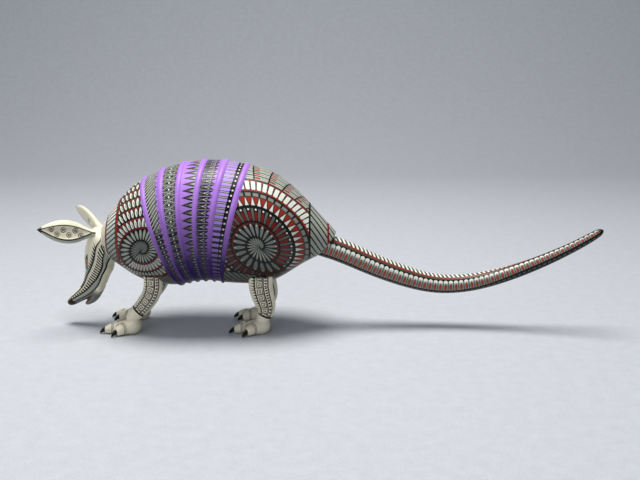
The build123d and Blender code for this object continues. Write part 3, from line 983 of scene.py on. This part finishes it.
def band_lattice():
    """A lattice of crossed lines with dots in its diamonds."""
    pitch = 6.4
    coat, ahead, width, v = band_start("band_lattice", 1, OLIVE)
    row, other = repeat(v, pitch), repeat(v, pitch, 0.5)
    across = abs(ahead - width * 0.5) * pitch / width
    diamond = abs(row) + across
    coat.brush(inside(diamond - 3.2), INK)
    coat.brush(stroke(diamond - 3.2, 0.7), PALE)
    coat.brush(inside(2.5 - diamond), INK)
    coat.brush(stroke(diamond - 1.9, 0.45), STONE)
    coat.brush(dot(row, ahead, width * 0.5, 0.75), WHITE)
    coat.brush(stroke(abs(other) + across - 1.9, 0.5), STONE)
    coat.brush(dot(other, ahead, width * 0.5, 0.5), PALE)
    low = coat.within(inside(4.0 - v, 8.0))
    low(bar(other, ahead, 1.5, 2.2, width - 2.2), BLACK)
    low(dot(other, ahead, width * 0.5, 0.6), WHITE)
    paint_belly_shade(coat, v, VIOLET_SHADE)
    return coat.varnish()


def band_spikes():
    """Long black spikes on lilac, pointing at the head."""
    coat, ahead, width, v = band_start("band_spikes", 2, LILAC)
    # Painted shade: the lilac darkens to violet towards the belly
    coat.brush(towards_belly(v), LILAC_IN_SHADE)
    row = repeat(v, 5.8, ahead * 0.012)
    other = repeat(v, 5.8, ahead * 0.012 + 0.5)
    # Painted shade: the spikes' white cores fade out lower down the flank
    shade = inside(20.0 - v, 30.0)
    coat.brush(wedge(row, ahead, 3.5, width, width * 0.22), INK)
    coat.brush(wedge(row, ahead, 1.7, width, width * 0.45), GREY)
    coat.brush(wedge(row, ahead, 1.0, width, width * 0.52) * (1 - shade), WHITE)
    coat.brush(wedge(other, ahead, 0.9, width * 0.98, width * 0.66), PALE)
    coat.brush(stroke(row, 0.5) * inside(ahead - width * 0.55), BLACK)
    paint_belly_shade(coat, v, BLACK, 0.25)
    return coat.varnish()


def band_blocks():
    """Dark blocks with small triangles between thin lilac lines, and lilac teeth on the rear side."""
    coat, ahead, width, v = band_start("band_blocks", 3, INK)
    row, edge = repeat(v, 5.2), repeat(v, 5.2, 0.5)
    # half width of a triangle, the shares of the band's width at its foot and its tip, and its colour
    for half_width, foot, tip, colour in ((1.9, 0.10, 0.40, GREY), (1.0, 0.14, 0.34, INK),
                                          (1.7, 0.62, 0.40, PALE), (0.8, 0.60, 0.46, INK)):
        coat.brush(wedge(row, ahead, half_width, width * foot, width * tip), colour)
    coat.brush(dot(row, ahead, width * 0.42, 0.45), WHITE)
    coat.brush(stroke(edge - 0.6, 0.3), OLIVE)
    coat.brush(stroke(edge, 0.55), DULL_LILAC)
    tooth = width * 0.64 + abs(row) * 1.5
    coat.brush(inside(ahead - tooth + 0.5), INK)
    coat.brush(inside(ahead - tooth), LILAC)
    paint_belly_shade(coat, v, VIOLET_SHADE)
    return coat.varnish()


def band_keys():
    """Lilac bars with round ends between black lines, then a black strip with a row of white dots."""
    coat, ahead, width, v = band_start("band_keys", 4, BLACK)
    row, other = repeat(v, 4.4), repeat(v, 4.4, 0.5)
    coat.brush(stroke(other, 0.9) * inside(width * 0.60 - ahead) * inside(v - 4.0, 12.0), PALE)
    coat.brush(inside(smallest(1.25 - abs(row), width * 0.62 - ahead - row * row * 0.4)), BRIGHT_LILAC)
    coat.brush(inside(1.4 - ahead), LILAC)
    coat.brush(dot(row, ahead, width * 0.74, 0.72), WHITE)
    coat.brush(dot(other, ahead, width * 0.86, 0.4), OLIVE)
    paint_belly_shade(coat, v, VIOLET_SHADE)
    return coat.varnish()


# ---- Shoulders and rump: a spiral of common motifs on each flank, with plain bars at the edges ----

RUMP_CENTRE, RUMP_PITCH, RUMP_SEAM = (46.0, -6.0), 11.5, -0.12
SHOULDER_CENTRE, SHOULDER_PITCH, SHOULDER_SEAM = (-43.0, -4.0), 9.0, 0.62
CORE = 0.2  # share of a pitch at which a spiral starts
RIM, COLLAR_START, FRONT_COLLAR = -34.0, 84.0, -64.0  # v of the rim, u where the collars begin
BAR_PITCH = 3.9


class Spiral:
    """An Archimedean spiral on the flank, around a centre given in mm along and up it."""

    def __init__(self, u, v, centre, pitch, seam, count):
        across, up = u - centre[0], v - centre[1]
        self.turn = calculate("FRACT", share_of_turn(across, up) - seam)
        self.reach = distance(across, up)
        self.edges = [(self.turn + (CORE + winding)) * pitch for winding in range(count)]

    def spokes(self, count, shift=0.0):
        """mm from the middle of the nearest of a number of spokes."""
        return (calculate("FRACT", self.turn * float(count) + shift) - 0.5) * self.reach * (math.tau / count)

    def up_to(self, edge):
        return inside(edge - self.reach)

    def outline(self, edge, width):
        return stroke(self.reach - edge, width)

    def seam(self, edge, width):
        """The line where the windings step outwards, as far out as an edge."""
        return stroke(self.spokes(1, 0.5), width) * self.up_to(edge)


def end_bars(coat, area, along, colour):
    """Dark ground with bars across an area, each with a light stroke beside it."""
    bars = repeat(along, BAR_PITCH)
    paint = coat.within(area)
    coat.brush(area, INK)
    paint(stroke(bars, BAR_PITCH * 0.7), colour)
    paint(stroke(bars + BAR_PITCH * 0.23, 0.4), PALE)


def back_panels(coat, spiral, start):
    """Panels of lengthwise stripes along the back."""
    beyond, panel = spiral.reach - start, spiral.spokes(30)
    coat.brush(stroke(repeat(beyond, 2.6), 1.5), PALE)
    coat.brush(stroke(repeat(beyond, 5.2), 1.2), WHITE)
    coat.brush(stroke(repeat(beyond, 2.6, 0.5), 0.7), BLACK)
    coat.brush(inside(2.2 - abs(panel + 2.6)) * stroke(repeat(beyond, 5.2), 1.9), RED)
    coat.brush(stroke(panel, 1.1), INK)


def slab_winding(coat, spiral, start, end):
    """White slabs with small red triangles between them."""
    reach, slab, gap = spiral.reach, spiral.spokes(66), spiral.spokes(66, 0.5)
    paint = coat.within(spiral.up_to(end))
    paint(1.0, OLIVE)
    paint(bar(slab, reach, 2.1, start + 1.6, end - 1.6), INK)
    paint(bar(slab, reach, 1.6, start + 1.8, end - 1.8), WHITE)
    paint(wedge(gap, reach, 1.7, start + 0.5, start + 3.8), RED)
    paint(wedge(gap, reach, 1.7, end - 0.5, end - 3.8), RED)
    coat.brush(spiral.outline(end, 0.9), INK)


def triangle_winding(coat, spiral, start, end):
    """Red triangles between white spikes, under a row of grey blocks."""
    reach, spike, between = spiral.reach, spiral.spokes(42), spiral.spokes(42, 0.5)
    paint = coat.within(spiral.up_to(end))
    paint(1.0, RED)
    paint(wedge(spike, reach, 2.3, start, end - 3.2), INK)
    paint(wedge(spike, reach, 1.5, start, end - 4.4), WHITE)
    paint(inside(reach - end + 4.2), INK)
    paint(bar(between, reach, 2.2, end - 3.7, end - 0.8), GREY)
    paint(bar(between, reach, 1.5, end - 3.1, end - 1.4), STONE)
    coat.brush(spiral.outline(end, 1.1), INK)


def spoke_winding(coat, spiral, start, end):
    """Dark red spokes with a white dot at the end of each."""
    reach, spoke, between = spiral.reach, spiral.spokes(30), spiral.spokes(30, 0.5)
    paint = coat.within(spiral.up_to(end))
    paint(1.0, INK)
    paint(bar(between, reach, reach * 0.030, start, end - 1.6), GREY)
    paint(stroke(between, 0.35), INK)
    paint(leaf(spoke, reach, 1.15, start + 0.8, end - 3.6), DEEP_RED)
    paint(dot(spoke, reach, end - 2.4, 0.72), WHITE)
    coat.brush(spiral.outline(end, 1.4), BLACK)


def petal_winding(coat, spiral, core, end):
    """Grey petals around a small white flower."""
    reach, petal = spiral.reach, spiral.spokes(22)
    paint = coat.within(spiral.up_to(end))
    paint(1.0, WINE)
    coat.brush(inside(end - 2.2 - reach), INK)
    paint(leaf(petal, reach, reach * 0.085, core + 0.6, end - 1.5), STONE)
    paint(dot(petal, reach, end - 2.8, 0.5), WHITE)
    coat.brush(spiral.outline(end, 1.3), BLACK)
    coat.brush(spiral.up_to(core) * leaf(petal, reach, reach * 0.085, 0.5, core - 0.6), PALE)
    coat.brush(spiral.outline(core, 1.1), BLACK)


def rump_paint():
    coat = Coat("rump_paint", OLIVE)
    u, v = field("u"), field("v")
    spiral = Spiral(u, v, RUMP_CENTRE, RUMP_PITCH, RUMP_SEAM, 5)
    core, first, second, third, fourth = spiral.edges
    back_panels(coat, spiral, fourth)
    slab_winding(coat, spiral, third, fourth)
    triangle_winding(coat, spiral, second, third)
    spoke_winding(coat, spiral, first, second)
    petal_winding(coat, spiral, core, first)
    coat.brush(spiral.seam(fourth, 1.1), BLACK)
    # Bars along the belly and round the tail's collar, their grey painted paler towards and up the collar as
    # painted light from above
    rim = largest(RIM - v, u - COLLAR_START)
    along = (u - RUMP_CENTRE[0]) * 0.8 + v * 0.6
    end_bars(coat, inside(rim), along, coat.mix(inside(u - 80.0, 24.0), STONE, PALE))
    coat.brush(stroke(rim, 1.4), BLACK)
    coat.brush(stroke(rim - 14.5, 1.4), DEEP_RED)
    paint_belly_shade(coat, v, BLACK, 0.62)
    return coat.varnish()


def shoulder_paint():
    coat = Coat("shoulder_paint", OLIVE)
    u, v = field("u"), field("v")
    spiral = Spiral(u, v, SHOULDER_CENTRE, SHOULDER_PITCH, SHOULDER_SEAM, 9)
    reach, (core, *edges) = spiral.reach, spiral.edges
    # Windings of white petals with red points between their tips
    for winding in range(7, 0, -1):
        start, end, count = edges[winding - 1], edges[winding], 30 + 13 * winding
        petal, between = spiral.spokes(count), spiral.spokes(count, 0.5)
        paint = coat.within(spiral.up_to(end))
        paint(1.0, INK if winding < 3 else OLIVE)
        paint(wedge(between, reach, 1.4, end, end - 3.0), RED)
        paint(leaf(petal, reach, 1.0, start + 0.5, end - 1.2), WHITE)
        paint(leaf(petal + 0.3, reach, 0.3, start + 1.5, end - 3.5), GREY)
        coat.brush(spiral.outline(end, 0.9), INK)
    # Finer petals in the middle
    middle, petal = spiral.up_to(edges[0]), spiral.spokes(26)
    coat.brush(inside(edges[0] + 1.3 - reach), DEEP_RED)
    coat.brush(middle, INK)
    coat.brush(middle * leaf(petal, reach, reach * 0.075, core + 0.6, edges[0] - 0.9), PALE)
    coat.brush(spiral.up_to(core) * leaf(petal, reach, reach * 0.075, 0.5, core - 0.6), STONE)
    coat.brush(spiral.outline(core, 1.1), BLACK)
    coat.brush(spiral.seam(edges[2], 1.0), BLACK)
    # Bars down the front and along the belly, their grey painted lighter higher up the flank as painted light
    # from above
    front = largest(FRONT_COLLAR - u, RIM + 3.0 - v)
    end_bars(coat, inside(front), v - u * 0.6, coat.mix(inside(v - 6.0, 40.0), STONE, WHITE))
    coat.brush(stroke(front, 2.6), INK)
    coat.brush(stroke(front, 1.5), RED)
    coat.brush(stroke(FRONT_COLLAR - 10.5 - u, 1.4), DEEP_RED)
    coat.brush(inside(FRONT_COLLAR - 11.5 - u), CREAM)
    paint_belly_shade(coat, v, BLACK, 0.62)
    return coat.varnish()


# ---- Tail ----


def tail_back(coat, along, angle, girth):
    """Slanted white bars along the back, with a red stripe and a dark line below them."""
    bars = repeat(along - angle * girth * 0.45, 3.7)
    coat.brush(stroke(bars, 2.5), INK)
    coat.brush(stroke(bars, 1.9), WHITE)
    stripe = inside((angle - 0.62) * 8.0)
    coat.brush(stripe, RED)
    coat.brush(stripe * stroke(bars, 0.7), OLIVE)
    coat.brush(inside((angle - 0.80) * 8.0), OLIVE)
    coat.brush(stroke((angle - 0.98) * girth, 0.5), INK)


def tail_flank(coat, row, side, depth):
    """A row of pale arches with a red leaf in each."""
    arch = inside(smallest(1.75 - abs(row), side - 0.3 - row * row * 0.35))
    paint = coat.within(inside(side))
    paint(1.0, INK)
    paint(arch, PALE)
    paint(arch * inside(depth * 0.36 - side, 3.0), WHITE)
    paint(stroke(abs(row) - 1.25, 0.25) * inside(side - depth * 0.28), INK)
    paint(leaf(row, side, 0.95, depth * 0.30, depth * 1.06), INK)
    paint(leaf(row, side, 0.72, depth * 0.36, depth * 1.02), TAIL_RED)


def tail_paint():
    coat = Coat("tail_paint", OLIVE)
    along, girth = field("along"), field("girth")
    # The stripes climb over the back towards the tip
    angle = field("around") + curve(along, ((0, 0), (110, 0.05), (190, 0.75), (260, 0.85)))
    row, side, depth = repeat(along, 4.2), (angle - 1.0) * girth, girth * 1.18
    tail_back(coat, along, angle, girth)
    tail_flank(coat, row, side, depth)
    belly = inside(side - depth)
    coat.brush(belly, BLACK)
    coat.brush(belly * bar(row, side, 1.3, depth + 1.6, depth + 3.0), DARK_GREY)
    coat.brush(inside(2.9 - girth, 0.5), INK)
    return coat.varnish()


# ---- Head, ears and legs: black drawing on cream ----


def head_stripes(coat, down, front):
    """Three lines from brow to mouth, with ticks, blocks and strokes between them. Returns the mm around the
    head for the whole of front, and the mm ahead of the third line."""
    first = curve(down, ((0, 0.90), (14, 0.50), (38, 0.80), (66, 0.90)))
    second = curve(down, ((0, 0.50), (14, 0.22), (40, 0.48), (66, 0.74)))
    third = curve(down, ((0, 0.10), (30, 0.17), (66, 0.40)))
    span = curve(down, ((0, 26), (20, 25), (40, 17), (60, 10), (66, 8)))
    ahead_first, ahead_second, ahead_third = ((front - edge) * span for edge in (first, second, third))
    tick, fine = repeat(down, 2.45), repeat(down, 1.2)
    upper = inside(smallest(ahead_first, 4.6 - ahead_first, 46.0 - down))
    coat.brush(upper * wedge(tick, ahead_first, 1.3, 0.0, 3.8) * inside(down - 6.0), INK)
    strip = coat.within(inside(smallest(ahead_second, -ahead_first)))
    width = ahead_second - ahead_first
    strip(inside(smallest(0.74 - abs(tick), width * 0.66 - ahead_second)), INK)
    strip(inside(ahead_second - width * 0.70) * stroke(fine, 0.35), GREY)
    rear = coat.within(inside(smallest(ahead_third, -ahead_second)))
    rear(1.0, PALE)
    rear(stroke(fine, 0.45), DARK_GREY)
    rear(stroke(ahead_third - (ahead_third - ahead_second) / 2, 0.7), PALE)
    for offset, line_width in ((ahead_first, 1.15), (ahead_second, 1.2), (ahead_third, 1.0)):
        coat.brush(stroke(offset, line_width), BLACK)
    return span, ahead_third


def throat(coat, down, ahead_third):
    """The grey strokes under the jaw, and one line down the cheek."""
    behind = inside(-0.5 - ahead_third)
    paint = coat.within(behind * inside(down - 41.0, 5.0))
    paint(1.0, STONE)
    paint(stroke(repeat(down, 1.2), 0.55), DARK_GREY)
    coat.brush(behind * inside(41.5 - down) * stroke(ahead_third + 5.5, 0.6), INK)


def eye(coat, over, beside):
    """A pointed eye, from places along and across it."""
    for reach, height, colour in ((6.7, 2.25, TURQUOISE), (5.7, 1.55, BLACK), (3.2, 1.35, ORANGE)):
        lens = height * (1.0 - (over / reach) * (over / reach))
        coat.brush(inside(lens - abs(beside)), colour)
    coat.brush(inside(0.55 - distance(over * 0.7, beside)), BLACK)


def head_paint():
    coat = Coat("head_paint", CREAM)
    down, front = field("down"), field("front")
    span, ahead_third = head_stripes(coat, down, front)
    throat(coat, down, ahead_third)
    eye(coat, down - 23.0, (front - 0.76) * span)
    # Mouth and nose
    mouth = smallest(down - 43.0, (field("jaw") - 0.72) * 4.0, (0.10 - front) * 8.0)
    coat.brush(inside(mouth), MOUTH_BROWN)
    coat.brush(inside(down - 60.0), INK)
    coat.brush(inside(down - 59.2) * inside(front - 0.80), NOSE_TAN)
    return coat.varnish()


def ear_paint():
    coat = Coat("ear_paint", CREAM)
    reach, across, edge = field("reach"), field("across"), field("edge")
    coat.brush(inside(-across - 0.5, 2.0) * inside(-0.3 - edge) * inside(edge - EAR_BACK - 1.0), PALE)
    coat.brush(inside(edge), CREAM)
    # Two staggered rows of small spirals
    pitch, radius = 1.25, 2.4
    for place in range(6):
        x, y = 11.0 + 4.6 * place, 0.8 if place % 2 else -2.8
        away = distance(reach - x, across - y)
        winding = repeat(away - share_of_turn(reach - x, across - y) * pitch, pitch)
        coat.brush(inside(smallest(edge, radius - away)) * stroke(winding, 0.62), INK)
        coat.brush(inside(0.4 - away), INK)
    back = coat.within(inside(EAR_BACK + 1.0 - edge))
    back(stroke(across + 0.5 - reach * 0.02, 0.6) * inside(reach - 7.0), INK)
    back(inside(0.3 - abs(distance(reach - 15.0, across - 3.4) - 1.2)), INK)
    # The rim is thicker on its lower side, and the tip is dark
    coat.brush(inside(0.34 + inside(-across, 2.0) * 0.40 - abs(edge)), BLACK)
    coat.brush(inside(reach - 41.5, 1.6) * 0.9, INK)
    return coat.varnish()


def shank_drawing(coat, down, around):
    """Ticks and square spirals between lines that run down the leg. around is the mm from the leg's front."""
    shank = coat.within(inside(24.0 - down))
    for place, width in ((7.0, 0.95), (13.2, 0.95), (16.6, 0.9)):
        shank(stroke(around - place, width), BLACK)
    tick = repeat(down, 2.2)
    shank(wedge(tick, around, 0.75, 7.0, 4.2), INK)
    shank(bar(tick, around, 0.6, 14.1, 15.9), INK)
    square, winding = 5.6, 1.35
    place, across = repeat(down, square), around - 10.1
    away = largest(abs(place), abs(across) * 1.05)
    spiral = repeat(away - share_of_turn(place, across) * winding, winding)
    shank(inside(2.5 - away) * stroke(spiral, 0.62), INK)
    shank(stroke(repeat(down, square, 0.5), 0.5) * inside(2.6 - abs(across)), INK)
    coat.brush(stroke(down - 24.6, 1.5), BLACK)


def foot_drawing(coat, down, claw, slit):
    """Red between the toes, a few fine strokes on each toe, and black claws."""
    foot = coat.within(inside(down - 25.6))
    foot(inside(1.1 - slit) * inside(claw + 10.0), TOE_RED)
    mark = inside(smallest(claw + 6.6, -4.2 - claw, slit - 2.0))
    foot(mark * stroke(repeat(claw, 0.8), 0.35), DARK_GREY)
    foot(inside(claw - 0.9), INK)


def leg_paint():
    coat = Coat("leg_paint", CREAM)
    down = field("down")
    shank_drawing(coat, down, field("around") * 7.0)
    foot_drawing(coat, down, field("claw"), field("slit"))
    return coat.varnish()


# ---- The pieces ----


def wood_finish():
    """Unpainted wood with grain along the piece."""
    coat = Coat("bare_wood", COPAL)
    grain = noise(1.1, 4.0, (7.0, 1.0, 3.0))
    coat.brush(calculate("MULTIPLY", grain - 0.45, 3.0, clamp=True) * 0.6, COPAL_GRAIN)
    return coat.varnish(0.62, 0.08, 0.0)


def paint_trunk(piece, fan):
    """Gives each zone of the trunk's rings its place in the list of paints, and returns that list."""
    shoulder, rump, ridge, first_band = 0, 1, 2, 3
    middle = (fan[1:] + fan[:-1]) / 2
    nearest = np.round(middle)
    on_ridge = (np.abs(middle - nearest) < RIDGE_HALF_ANGLE / FAN_STEP) & (nearest >= 0) & (nearest < RIDGES)
    zone = first_band + np.clip(middle, 0, RIDGES - 1.001).astype(int)
    zone[middle > RIDGES - 1] = rump
    zone[middle < 0] = shoulder
    zone[on_ridge] = ridge
    # The two end fans follow the rings, a triangle of each by turns
    faces = np.full(len(piece.data.polygons), shoulder, np.int32)
    rings_end = len(zone) * TRUNK_COLUMNS
    faces[:rings_end] = np.repeat(zone, TRUNK_COLUMNS)
    faces[rings_end + 1 :: 2] = rump
    piece.data.polygons.foreach_set("material_index", faces)
    return [shoulder_paint(), rump_paint(), ridge_paint(),
            band_strokes(), band_lattice(), band_spikes(), band_blocks(), band_keys()]


def place_pieces():
    painted_trunk, trunk_fan = make_trunk()
    finish_piece(painted_trunk, "body", "trunk", "shell_paint", *paint_trunk(painted_trunk, trunk_fan))
    finish_piece(make_head(), "body", "head", "head_paint", head_paint())
    finish_piece(make_tail(), "tail", "tail", "tail_paint", tail_paint())
    ear_coat, leg_coat = ear_paint(), leg_paint()
    for side, word in ((-1, "left"), (1, "right")):
        ear = make_ear(side, f"painted_{word}_ear")
        finish_piece(ear, f"ear_{word}", f"ear_{word}", "ear_paint", ear_coat)
        for end, stations in (("front", FRONT_LEG), ("rear", REAR_LEG)):
            leg = make_leg(f"painted_{end}_{word}_leg", stations, side)
            finish_piece(leg, "body", f"{end}_{word}_leg", "leg_paint", leg_coat)
    bare_wood = wood_finish()
    for node, cad_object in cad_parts.items():
        if node.endswith(("_peg", "_dowel")):
            cad_object.data.materials.clear()
            cad_object.data.materials.append(bare_wood)


# ---- Floor, light and camera, in metres ----

FLOOR_REACH, BEND_START, BEND_RADIUS, BACKDROP_HEIGHT = 60.0, 0.9, 0.8, 3.5


def make_floor():
    """A pale floor that curves up into a backdrop behind the figure."""
    turns = np.linspace(0, math.pi / 2, 24)
    profile = [(-FLOOR_REACH, 0.0), (BEND_START, 0.0)]
    for turn in turns[1:]:
        y = BEND_START + BEND_RADIUS * math.sin(turn)
        profile.append((y, BEND_RADIUS - BEND_RADIUS * math.cos(turn)))
    profile.append((BEND_START + BEND_RADIUS, BACKDROP_HEIGHT))
    points = [(x, y, z) for y, z in profile for x in (-FLOOR_REACH, FLOOR_REACH)]
    faces = [(2 * i, 2 * i + 1, 2 * i + 3, 2 * i + 2) for i in range(len(profile) - 1)]
    floor = new_object("studio_floor", np.array(points) / MM, faces)
    floor.data.materials.append(Coat("studio_grey", STUDIO_GREY).varnish())


def area_light(name, place, width, power, colour):
    """A round light that faces the figure."""
    light = bpy.data.lights.new(name, "AREA")
    light.shape, light.size, light.energy, light.color = "DISK", width, power, colour
    lamp = link(name, light)
    lamp.location = place
    lamp.rotation_euler = (Vector((0, 0, 0.05)) - Vector(place)).to_track_quat("-Z", "Y").to_euler()


def light_studio():
    area_light("overhead", (-0.15, 0.05, 1.3), 0.7, 21, (1, 0.99, 0.97))
    area_light("front_fill", (-0.6, -1.4, 0.8), 1.2, 4, (0.93, 0.96, 1))
    world = bpy.data.worlds.new("studio")
    world.use_nodes = True
    background = world.node_tree.nodes["Background"]
    background.inputs["Color"].default_value = (0.75, 0.8, 0.9, 1)
    background.inputs["Strength"].default_value = 0.28
    bpy.context.scene.world = world
    bpy.context.scene.view_settings.view_transform = "Standard"


def make_camera():
    """A camera that looks along y from the figure's left, a little downwards."""
    data = bpy.data.cameras.new("camera")
    data.lens, data.sensor_width = 50, 36
    camera = link("camera", data)
    camera.location = ((WAIST_X + 92) * MM, -0.695, 0.219)
    camera.rotation_euler = (math.radians(90 - 12), 0, 0)
    bpy.context.scene.camera = camera


place_pieces()
make_floor()
light_studio()
make_camera()
